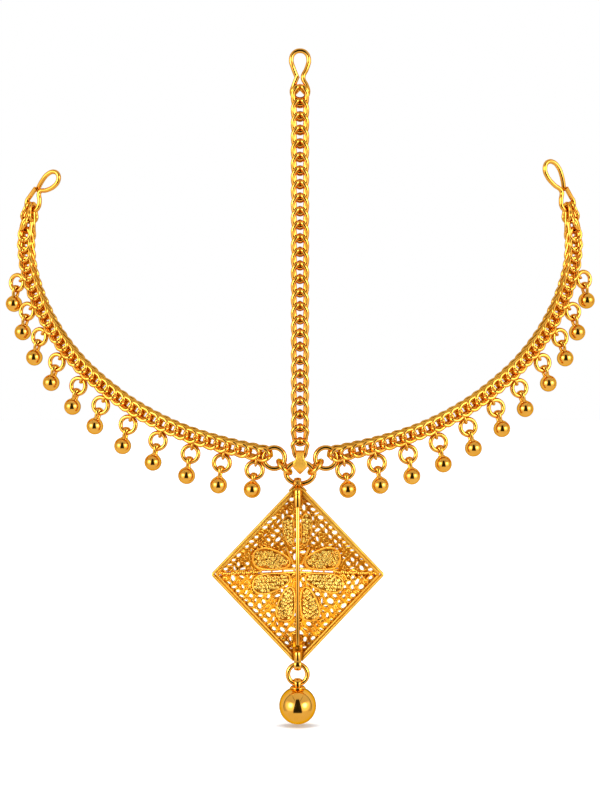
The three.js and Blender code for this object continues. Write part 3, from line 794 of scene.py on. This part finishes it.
def net_face(shaker):
    """The pierced sheet of one face, the wires on it and the places of its grains."""
    bm = shaken_grid(shaker)
    front = Vector((0, 0, -NET_SHEET - WIRE_STAND))
    grains = [vert.co + front for vert in bm.verts if not vert.is_boundary]
    cells = [face for face in bm.faces if face.calc_area() > SMALL_CELL]
    shaker.shuffle(cells)
    rims = []
    for i, (margin, is_open) in enumerate(CELL_KINDS):
        kind = cells[i::len(CELL_KINDS)]
        bmesh.ops.inset_individual(bm, faces=kind, thickness=margin, use_even_offset=True)
        for cell in kind:
            rims.append([(edge.verts[0].co + edge.verts[1].co) / 2 + front for edge in cell.edges])
        if is_open:
            bmesh.ops.inset_individual(bm, faces=kind, thickness=NET_WIRE, use_even_offset=True)
            bmesh.ops.delete(bm, geom=kind, context="FACES")
    bmesh.ops.solidify(bm, geom=bm.faces[:], thickness=NET_SHEET)
    return mesh_of(bm, "net"), bent_wires(rims, NET_WIRE, closed=True, sides=6, steps=2), grains


def grain_mesh():
    bm = bmesh.new()
    bmesh.ops.create_uvsphere(bm, u_segments=8, v_segments=5, radius=GRAIN)
    return mesh_of(bm, "grain")


grain = grain_mesh()
other_side = move((0, 0, NET_SHEET + 2 * WIRE_STAND))
sheets, rings = bmesh.new(), bmesh.new()
for sx, sz in QUARTERS:
    lean = lean_on_face(sx, sz)
    sheet, wires, grains = net_face(shaker)
    stamp(sheets, sheet, lean)
    stamp(rings, wires, lean)
    stamp(rings, wires, lean @ other_side)
    for place in grains:
        stamp(rings, grain, lean @ move(place))
# painted shade: the net's sheet takes the darker gold
net = add_piece("pendant_net", sheets, "pendant_body", painted_shade_gold)
rounded = net.modifiers.new("rounded", "SUBSURF")
rounded.levels = rounded.render_levels = 2
add_piece("pendant_net_rings", rings, "pendant_body", filigree_gold)

# %% [markdown]
# ## Petals
# A flower of paired petals lies on the net, each pair a heart with its point at the middle. A petal is a
# thin plate with a round wire rim, packed with tiny scrolls of wire, painted paler as painted light. One
# formula gives the outline, blunt outside and narrow inside. The plate is that outline as a face, made
# thick, and the rim is bent along it. A scroll is one short spiral, stamped all over the plate and turned at
# random. A bump texture would be lighter, but real wire catches the light at every turn of the jewel.

# %% A petal's outline
PETAL_BLUNT = 0.38  # a smaller power makes blunter ends
PETAL_MIDDLE, PETAL_SWELL = 0.95, 0.25  # width at the middle, and more towards the outer end
PETAL_LEAN, LEAN_START = 0.34, 0.35  # bends the inner end towards the ridge
PETAL_SHEET = 0.5
PETAL_PROUD = NET_SHEET + 0.45  # height above the net's far side


def petal_edges(u):
    """The petal's two edges, as shares of its half width, at u from -1 (inner end) to 1 (outer end)."""
    half = max(0.0, 1 - u * u) ** PETAL_BLUNT * (PETAL_MIDDLE + PETAL_SWELL * u)
    lean = PETAL_LEAN * min(0.0, u - LEAN_START)
    return lean - half, lean + half


def petal_outline(half_long, half_wide, count):
    points = []
    for i in range(count):
        angle = (i + 0.5) / count * 2 * math.pi
        u = math.cos(angle)
        points.append(Vector((u * half_long, petal_edges(u)[angle < math.pi] * half_wide, 0)))
    return points


def petal_plate(half_long, half_wide):
    bm = bmesh.new()
    bm.faces.new([bm.verts.new(point) for point in petal_outline(half_long, half_wide, 32)])
    bmesh.ops.solidify(bm, geom=bm.faces[:], thickness=PETAL_SHEET)
    return mesh_of(bm, "petal")


print("petal's edges at its middle", petal_edges(0.0))

# %% Scrolls
SCROLL_PITCH = 1.12
SCROLL_ROW = 0.87 * SCROLL_PITCH
SCROLL_SHAKE = 0.12
SCROLL_WIRE = 0.19
SCROLL_BENDS = 10
SCROLL_TURN = 2.8 * math.pi
SCROLL_INNER, SCROLL_GROWTH = 0.10, 0.46
SCROLL_HEIGHT = 1.1  # stretch away from the plate


def scroll_wire():
    points = []
    for i in range(SCROLL_BENDS):
        share = i / (SCROLL_BENDS - 1)
        radius = SCROLL_INNER + SCROLL_GROWTH * share
        points.append(Vector((math.cos(share * SCROLL_TURN), math.sin(share * SCROLL_TURN), 0)) * radius)
    wire = bent_wire(points, SCROLL_WIRE, sides=4, steps=1)
    wire.transform(Matrix.Scale(SCROLL_HEIGHT, 4, (0, 0, 1)))
    return wire


def scroll_places(half_long, half_wide, margin):
    steps = math.ceil(2 * half_long / SCROLL_PITCH)
    for i in range(-steps, steps + 1):
        for j in range(-steps, steps + 1):
            x = (i + 0.5 * (j % 2)) * SCROLL_PITCH + shaker.uniform(-SCROLL_SHAKE, SCROLL_SHAKE)
            y = j * SCROLL_ROW + shaker.uniform(-SCROLL_SHAKE, SCROLL_SHAKE)
            lower, upper = petal_edges(x / half_long)
            between = lower * half_wide + margin < y < upper * half_wide - margin
            if abs(x) < half_long - margin and between:
                turn = Matrix.Rotation(shaker.uniform(0, 2 * math.pi), 4, "Z")
                yield move((x, y, 0)) @ turn


scroll = scroll_wire()
print("a scroll has", len(scroll.polygons), "faces")

# %% Petals
PETALS = [  # ridge beside it, left or right, up or down, from and to along it, from and to off it
    ("side", -1, 1, 2.2, 15.0, 0.4, 8.2),
    ("side", 1, 1, 2.1, 14.2, 0.4, 8.3),
    ("side", -1, -1, 2.2, 15.0, 0.4, 7.0),
    ("side", 1, -1, 2.1, 15.2, 0.4, 6.6),
    ("up", -1, 1, 8.0, 18.0, 1.1, 5.2),
    ("up", 1, 1, 8.0, 18.6, 1.1, 5.0),
    ("up", -1, -1, 4.6, 15.2, 0.7, 7.4),
    ("up", 1, -1, 4.6, 15.2, 0.7, 7.6),
]
PETAL_RIM = 0.10  # wire of the rim, as a share of the half width
RIM_GAP = 0.25  # from the rim's wire to the middle of the nearest scroll


def on_face(ridge, sx, sz, along, beside, proud):
    x, z = (along, beside) if ridge == "side" else (beside, along)
    y = FACE_BASE + PYRAMID_RISE * (1 - (x + z) / HALF_WIDTH) - proud
    return Vector((sx * x + PENDANT_X, y, sz * z * STRETCH + PENDANT_Z))


plates, scrolls = bmesh.new(), bmesh.new()
for ridge, sx, sz, along_from, along_to, beside_from, beside_to in PETALS:
    rim_wire = PETAL_RIM * (beside_to - beside_from) / 2
    along, half_long = (along_from + along_to) / 2, (along_to - along_from) / 2 - rim_wire
    beside, half_wide = (beside_from + beside_to) / 2, (beside_to - beside_from) / 2 - rim_wire
    middle = on_face(ridge, sx, sz, along, beside, PETAL_PROUD)
    far = on_face(ridge, sx, sz, along + 1, beside, PETAL_PROUD) - middle
    wide = on_face(ridge, sx, sz, along, beside + 1, PETAL_PROUD) - middle
    lay = axes_matrix(far, wide, Vector((0, -1, 0)), middle)
    stamp(plates, petal_plate(half_long, half_wide), lay)
    rim = bent_wire(petal_outline(half_long, half_wide, 16), rim_wire, closed=True, sides=10, steps=4)
    stamp(plates, rim, lay)
    for place in scroll_places(half_long, half_wide, rim_wire + RIM_GAP):
        stamp(scrolls, scroll, lay @ place)
add_piece("pendant_petals", plates, "pendant_body", satin_gold)
# painted light: the scrolls take the paler gold
add_piece("pendant_scrolls", scrolls, "pendant_body", scroll_gold_painted_light)

# %% [markdown]
# ## Ridges
# Where two faces meet, solder closes the joint. The upright ridge is a plain wire behind the bar. The side
# ridge is a small ladder with three open slots between the petals, and a row of grains beyond them. Two
# short sepals stand above the middle. All of them follow the same function that laid the petals on the
# faces, so they sit on the net without measuring.

# %% Ridges
LADDER = [1.2, 4.9, 8.6, 12.3]  # cross bars, distances from the middle
LADDER_HALF = 0.5
RIDGE_END = 25.6
UPRIGHT_ENDS = (0.5, RIDGE_END - 1)
RIDGE_WIRE = 0.55
RAIL_WIRE = 0.32
BEADS = 22
BEAD_SHAKE = 0.25
BEAD_PROUD = NET_SHEET - 0.2
BEAD_SIZES = (1.5, 2.1)  # least and most, in grains
SEPAL = ((1.5, 2.2), (3.9, 7.9))  # out and up, at its foot and its tip

ridge_paths, rail_paths = [], []
bm = bmesh.new()
for sx in (-1, 1):
    for i in range(BEADS + 1):
        along = LADDER[-1] + (RIDGE_END - LADDER[-1]) * i / BEADS
        beside = shaker.uniform(-BEAD_SHAKE, BEAD_SHAKE)
        place = on_face("side", sx, 1 if beside > 0 else -1, along, abs(beside), BEAD_PROUD)
        stamp(bm, grain, move(place) @ Matrix.Scale(shaker.uniform(*BEAD_SIZES), 4))
    ridge_paths.append([on_face("up", 1, sx, along, 0, NET_SHEET / 2) for along in UPRIGHT_ENDS])
    ridge_paths.append([on_face("side", sx, 1, along, beside, PETAL_PROUD) for along, beside in SEPAL])
    for sz in (-1, 1):
        ends = (LADDER[0], LADDER[-1])
        rail_paths.append([on_face("side", sx, sz, along, LADDER_HALF, NET_SHEET) for along in ends])
    for along in LADDER:
        rail_paths.append([on_face("side", sx, sz, along, LADDER_HALF, NET_SHEET) for sz in (-1, 1)])
stamp(bm, bent_wires(ridge_paths, RIDGE_WIRE, sides=10, steps=1))
stamp(bm, bent_wires(rail_paths, RAIL_WIRE, sides=8, steps=1))
add_piece("pendant_ridges", bm, "pendant_body", filigree_gold)

# %% [markdown]
# ## Back bar and straps
# A bar runs down the back of the pendant from corner to corner: a short tube with a band, a long stem and a
# short tube at the foot. Two roof wires close the top corner. Strap loops at the bar's ends take the rings.
# Tubes are cones with equal ends, with their rims bevelled, and a strap loop is a rounded profile spun round
# its ring, which leaves the hole that the ring needs.

# %% Tubes and straps
BAR_Y = PENDANT_BACK - 0.7
BAR_ROUNDING = 0.18
STRAP_SHEET, STRAP_WIDTH = 0.9, 2.4
PENDANT_TOP = PENDANT_Z + HALF_HEIGHT - END_CUT
PENDANT_FOOT = PENDANT_Z - HALF_HEIGHT + END_CUT
PLATE_TOP = PENDANT_Z - 19.0


def bar_piece(bm, radius, top, bottom):
    part = bmesh.new()
    bmesh.ops.create_cone(part, cap_ends=True, segments=24, radius1=radius, radius2=radius,
                          depth=top - bottom)
    rims = [edge for edge in part.edges if edge.calc_face_angle() > 1]
    bmesh.ops.bevel(part, geom=rims, affect="EDGES", offset=BAR_ROUNDING, segments=2, profile=0.5,
                    material=-1)
    stamp(bm, mesh_of(part, "bar"), move((PENDANT_X, BAR_Y, (top + bottom) / 2)))


def strap_loop(bm, hole, place):
    part = bmesh.new()
    bmesh.ops.create_circle(part, segments=20, radius=0.5)
    bmesh.ops.scale(part, vec=(STRAP_WIDTH, STRAP_SHEET, 1), verts=part.verts)
    bmesh.ops.translate(part, vec=(0, hole + STRAP_SHEET / 2, 0), verts=part.verts)
    bmesh.ops.spin(part, geom=part.verts[:] + part.edges[:], cent=(0, 0, 0), axis=(1, 0, 0),
                   angle=2 * math.pi, steps=32, use_merge=True)
    stamp(bm, mesh_of(part, "strap"), move(place))


print("the bar is", round(PENDANT_TOP - PENDANT_FOOT, 1), "mm long")

# %% Back bar and straps
pendant_joint, ball_joint = (Vector(joint["pos_m"]) / MM for joint in frame["record"]["behaviour"]["joints"])
BAR = [  # radius, top, bottom
    (1.25, PENDANT_TOP - 0.4, PENDANT_TOP - 6.0),
    (1.42, PENDANT_TOP - 1.4, PENDANT_TOP - 2.1),
    (0.72, PENDANT_TOP - 5.5, PLATE_TOP - 3.6),
    (1.2, PENDANT_FOOT + 3.2, ball_joint.z + 1.2),
]
ROOF = [(-2.6, -1.0), (0, 1.75), (2.6, -1.0)]  # across, up from the top corner
ROOF_Y = PENDANT_BACK + 0.6
ROOF_WIRE = 0.55
TOP_STRAP_HOLE, LOW_STRAP_HOLE = 1.3, 1.15

bm = bmesh.new()
for bar in BAR:
    bar_piece(bm, *bar)
roof = [Vector((PENDANT_X + x, ROOF_Y, PENDANT_TOP + z)) for x, z in ROOF]
for ends in (roof[:2], roof[1:]):
    stamp(bm, bent_wire(ends, ROOF_WIRE, steps=1))
strap_loop(bm, TOP_STRAP_HOLE, pendant_joint)
strap_loop(bm, LOW_STRAP_HOLE, ball_joint)
add_piece("pendant_bar", bm, "pendant_body", polished_gold)

# %% [markdown]
# ## Plate at the foot
# Where the stem ends, a small rounded plate lies between the frame's lower sides, with grains soldered on
# it in rows that are shifted by turns. The plate is a cylinder pressed flat, and the grains are the net's.

# %% Plate at the foot
PLATE_LENGTH = PLATE_TOP - PENDANT_FOOT - 0.4
PLATE_Y = PENDANT_BACK - 0.3
PLATE_RADIUS = 1.65
PLATE_FLATTEN = 0.4
PLATE_ROWS = 6
PLATE_ROW = 1.2
PLATE_COLUMNS = (-0.9, 0, 0.9)
GRAIN_SHIFT = 0.2
GRAIN_Y, GRAIN_CURVE = PENDANT_BACK - 0.95, 0.2  # the outer columns lie deeper

bm = bmesh.new()
plate = bmesh.new()
bmesh.ops.create_cone(plate, cap_ends=True, segments=24, radius1=PLATE_RADIUS, radius2=PLATE_RADIUS,
                      depth=PLATE_LENGTH)
bmesh.ops.scale(plate, vec=(1, PLATE_FLATTEN, 1), verts=plate.verts)
plate_middle = (PENDANT_X, PLATE_Y, (PLATE_TOP + PENDANT_FOOT) / 2)
stamp(bm, mesh_of(plate, "plate"), move(plate_middle))
for i in range(PLATE_ROWS):
    for x in PLATE_COLUMNS:
        shift = GRAIN_SHIFT * (-1) ** i
        place = (PENDANT_X + x + shift, GRAIN_Y + GRAIN_CURVE * x * x, PLATE_TOP - 0.9 - PLATE_ROW * i)
        stamp(bm, grain, move(place))
# painted shade: the foot plate takes the darker gold too
add_piece("pendant_plate", bm, "pendant_body", painted_shade_gold)

# %% [markdown]
# ## The large ball
# A ring hangs in the lower strap, and the large ball hangs in the ring by its own eye and collar. It is made
# as the small balls are, with more segments, because a mirror-like ball of this size shows every flat. Its
# eye is the small one's, drawn broader.

# %% Large ball
BALL_RING = 3.15
BALL_RING_WIRE = 0.8
LARGE_RADIUS = 6.0
LARGE_COLLAR = (LARGE_RADIUS - 0.05, 2.6, 2.2, 24)
LARGE_EYE_SINK = 0.95
LARGE_EYE_BROADEN = 1.8

ring_x, ring_y, _ = node_middle("bottom_ring")
ring_place = move((ring_x, ring_y, ball_joint.z - BALL_RING))
ball_ring = ring_mesh(BALL_RING, BALL_RING_WIRE)
add_wire("bottom_ring_wire", ball_ring, "ball_body", "bottom_ring", ring_place)

ball_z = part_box("ball_large")[0].z / MM + LARGE_RADIUS
bm = bmesh.new()
collared_ball(bm, move((ring_x, ring_y, ball_z)), LARGE_RADIUS, 64, LARGE_COLLAR)
eye_z = ball_joint.z - 2 * BALL_RING
eye = eye_strap(eye_z - ball_z - LARGE_EYE_SINK * LARGE_RADIUS, 0.4)
broaden = Matrix.Scale(LARGE_EYE_BROADEN, 4, (1, 0, 0))
stamp(bm, eye, move((ring_x, ring_y, eye_z)) @ broaden)
add_piece("ball_large_shell", bm, "ball_body", polished_gold, ["ball_large"])

# %% [markdown]
# ## Floor
# The jewel hangs over a plain white floor, which the ball just clears. Lit paper alone would come out grey,
# so the floor glows a little, apart from an oval under the ball, where the contact shadow has to show. The
# oval is thus partly a painted shadow, darker than the paper round it even when the ball is away. There a
# faint blue offsets the gold that the ball throws on the paper.

# %% Floor
FLOOR_CLEARANCE = 0.0006
FLOOR_DROP = FLOOR_CLEARANCE - cad_box[0][2]  # how far the floor lies below the frame's origin
FLOOR_RADIUS = 6.0
PAPER_WHITE = (0.77, 0.785, 0.80, 1)
SHADOW_GLOW, PAPER_GLOW = (0.0, 0.03, 0.07), (0.4, 0.4, 0.4)
SHADOW_SQUASH = (1, 3, 1)  # the oval is three times as wide as deep
SHADOW_SHIFT = (0.00075, 0.0084, 0)  # brings the oval's middle under the ball
SHADOW_FADE = (0.00004, 0.0003)  # soft edge of the oval

floor_bm = bmesh.new()
bmesh.ops.create_circle(floor_bm, cap_ends=True, segments=64, radius=FLOOR_RADIUS,
                        matrix=move((0, 0, -FLOOR_DROP)))
floor = bpy.data.objects.new("floor", mesh_of(floor_bm, "floor"))
scene.collection.objects.link(floor)
paper = bpy.data.materials.new("white_floor")
paper.use_nodes = True
paper_shader = paper.node_tree.nodes["Principled BSDF"]
paper_shader.inputs["Base Color"].default_value = PAPER_WHITE
paper_shader.inputs["Roughness"].default_value = 0.9
paper_shader.inputs["Emission Strength"].default_value = 1.0
shade = Shade(paper.node_tree)
spot = shade.node("ShaderNodeTexCoord", output=OBJECT_COORDS)
spread = shade.node("ShaderNodeVectorMath", {"operation": "MULTIPLY_ADD"},
                    {0: spot, 1: SHADOW_SQUASH, 2: SHADOW_SHIFT})
outward = shade.node("ShaderNodeVectorMath", {"operation": "LENGTH"}, {0: spread}, output=1)
# painted shadow: no glow inside the oval, so it stays darker with or without the ball
floor_glow = (outward - FLOOR_DROP).smooth(*SHADOW_FADE).blend(SHADOW_GLOW, PAPER_GLOW)
paper.node_tree.links.new(floor_glow.socket, paper_shader.inputs["Emission Color"])
floor.data.materials.append(paper)
floor.visible_glossy = False
print("floor", round(FLOOR_DROP / MM, 1), "mm below the origin")

# %% [markdown]
# ## Studio light
# Gold shows what it reflects, so the light is a white tent round the jewel. Two bright windows stand left
# and right of the camera, and a dark gap between them is where the camera looks in. Two thin seams run up
# from the gap, the tent's edge is a dark line, and straight behind the jewel the tent is darker. Lamps and
# cards could be built, but the world can hold all this as one formula of the direction that a ray goes. Only
# the camera sees plain white there. One softbox above lights the floor and stays out of the reflections.

# %% Tent
TENT_GLOW, TENT_RISE = 0.72, 0.20  # at the level of the jewel, and more towards the top
WINDOW_GLOW, CORE_GLOW = 1.3, 9.0
BACKDROP_GLOW = 1.08
GAP_DARK, SEAM_DARK, REAR_DARK, EDGE_DARK = 0.96, 0.6, 0.6, 3.4
GAP_WIDTH, GAP_TAPER = 0.41, 0.25  # half width at the jewel's level, less towards the top

scene.world = bpy.data.worlds.new("tent")
scene.world.use_nodes = True
tree = scene.world.node_tree
tent = Shade(tree)
direction = tent.node("ShaderNodeSeparateXYZ", None, {"Vector": tent.node("ShaderNodeTexCoord")})
across, away, up = (Shade(tree, direction.socket.node.outputs[axis]) for axis in "XYZ")
front = away * -1
aside = abs(across)

# smooth(a, b) is a soft step: nothing up to a, all from b on
edge = front.smooth(-0.20, -0.04)
inside = edge * up.smooth(-0.46, -0.34)
edge_line = edge * (1 - edge) * EDGE_DARK * up.smooth(-0.5, 0.0)
toward_window = aside * 0.71 + front * 0.68 + up * 0.18
window = toward_window.smooth(0.70, 0.96) * (1 - up.smooth(0.20, 0.54))
core = toward_window.smooth(0.955, 1.0) * (1 - up.smooth(0.25, 0.50))
gap = 1 - (aside / (front.clamp() + 0.04) / (GAP_WIDTH - up * GAP_TAPER)).smooth(0.85, 1.15)
gap = gap * front.smooth(0.1, 0.25) * (1 - up.smooth(0.70, 0.84)) * up.smooth(-0.62, -0.50)
seam = 1 - abs(aside - up * 0.8 + 0.237).smooth(0.01, 0.07)
seam = seam * up.smooth(0.56, 0.64) * (1 - up.smooth(0.80, 0.92)) * front.smooth(0.0, 0.1)
rear = away.smooth(0.78, 0.95)

lit = TENT_GLOW + up.clamp() * TENT_RISE + window * WINDOW_GLOW + core * CORE_GLOW
glow = (lit * inside + BACKDROP_GLOW * (1 - inside)) * (1 - edge_line)
glow = glow * (1 - gap * GAP_DARK) * (1 - seam * SEAM_DARK) * (1 - rear * REAR_DARK)
to_camera = tent.node("ShaderNodeLightPath")
backdrop = tree.nodes["Background"]
backdrop.inputs["Color"].default_value = (1, 1, 1, 1)
tree.links.new((glow * (1 - to_camera) + to_camera).socket, backdrop.inputs["Strength"])
print("tent of", len(tree.nodes), "nodes")

# %% Softbox
SOFTBOX_PLACE = Vector((0, -0.15, 0.55))
SOFTBOX_WIDTH = 0.50
SOFTBOX_WATTS = 2.5

light = bpy.data.lights.new("softbox_top", "AREA")
light.shape = "DISK"
light.size = SOFTBOX_WIDTH
light.energy = SOFTBOX_WATTS
lamp = bpy.data.objects.new("softbox_top", light)
lamp.location = SOFTBOX_PLACE
aim = Vector((0, 0, VIEW_HEIGHT)) - SOFTBOX_PLACE
lamp.rotation_euler = aim.to_track_quat("-Z", "Y").to_euler()
lamp.visible_camera = False
lamp.visible_glossy = False
scene.collection.objects.link(lamp)
scene.view_settings.view_transform = "Standard"
print("softbox of", SOFTBOX_WATTS, "watts above")
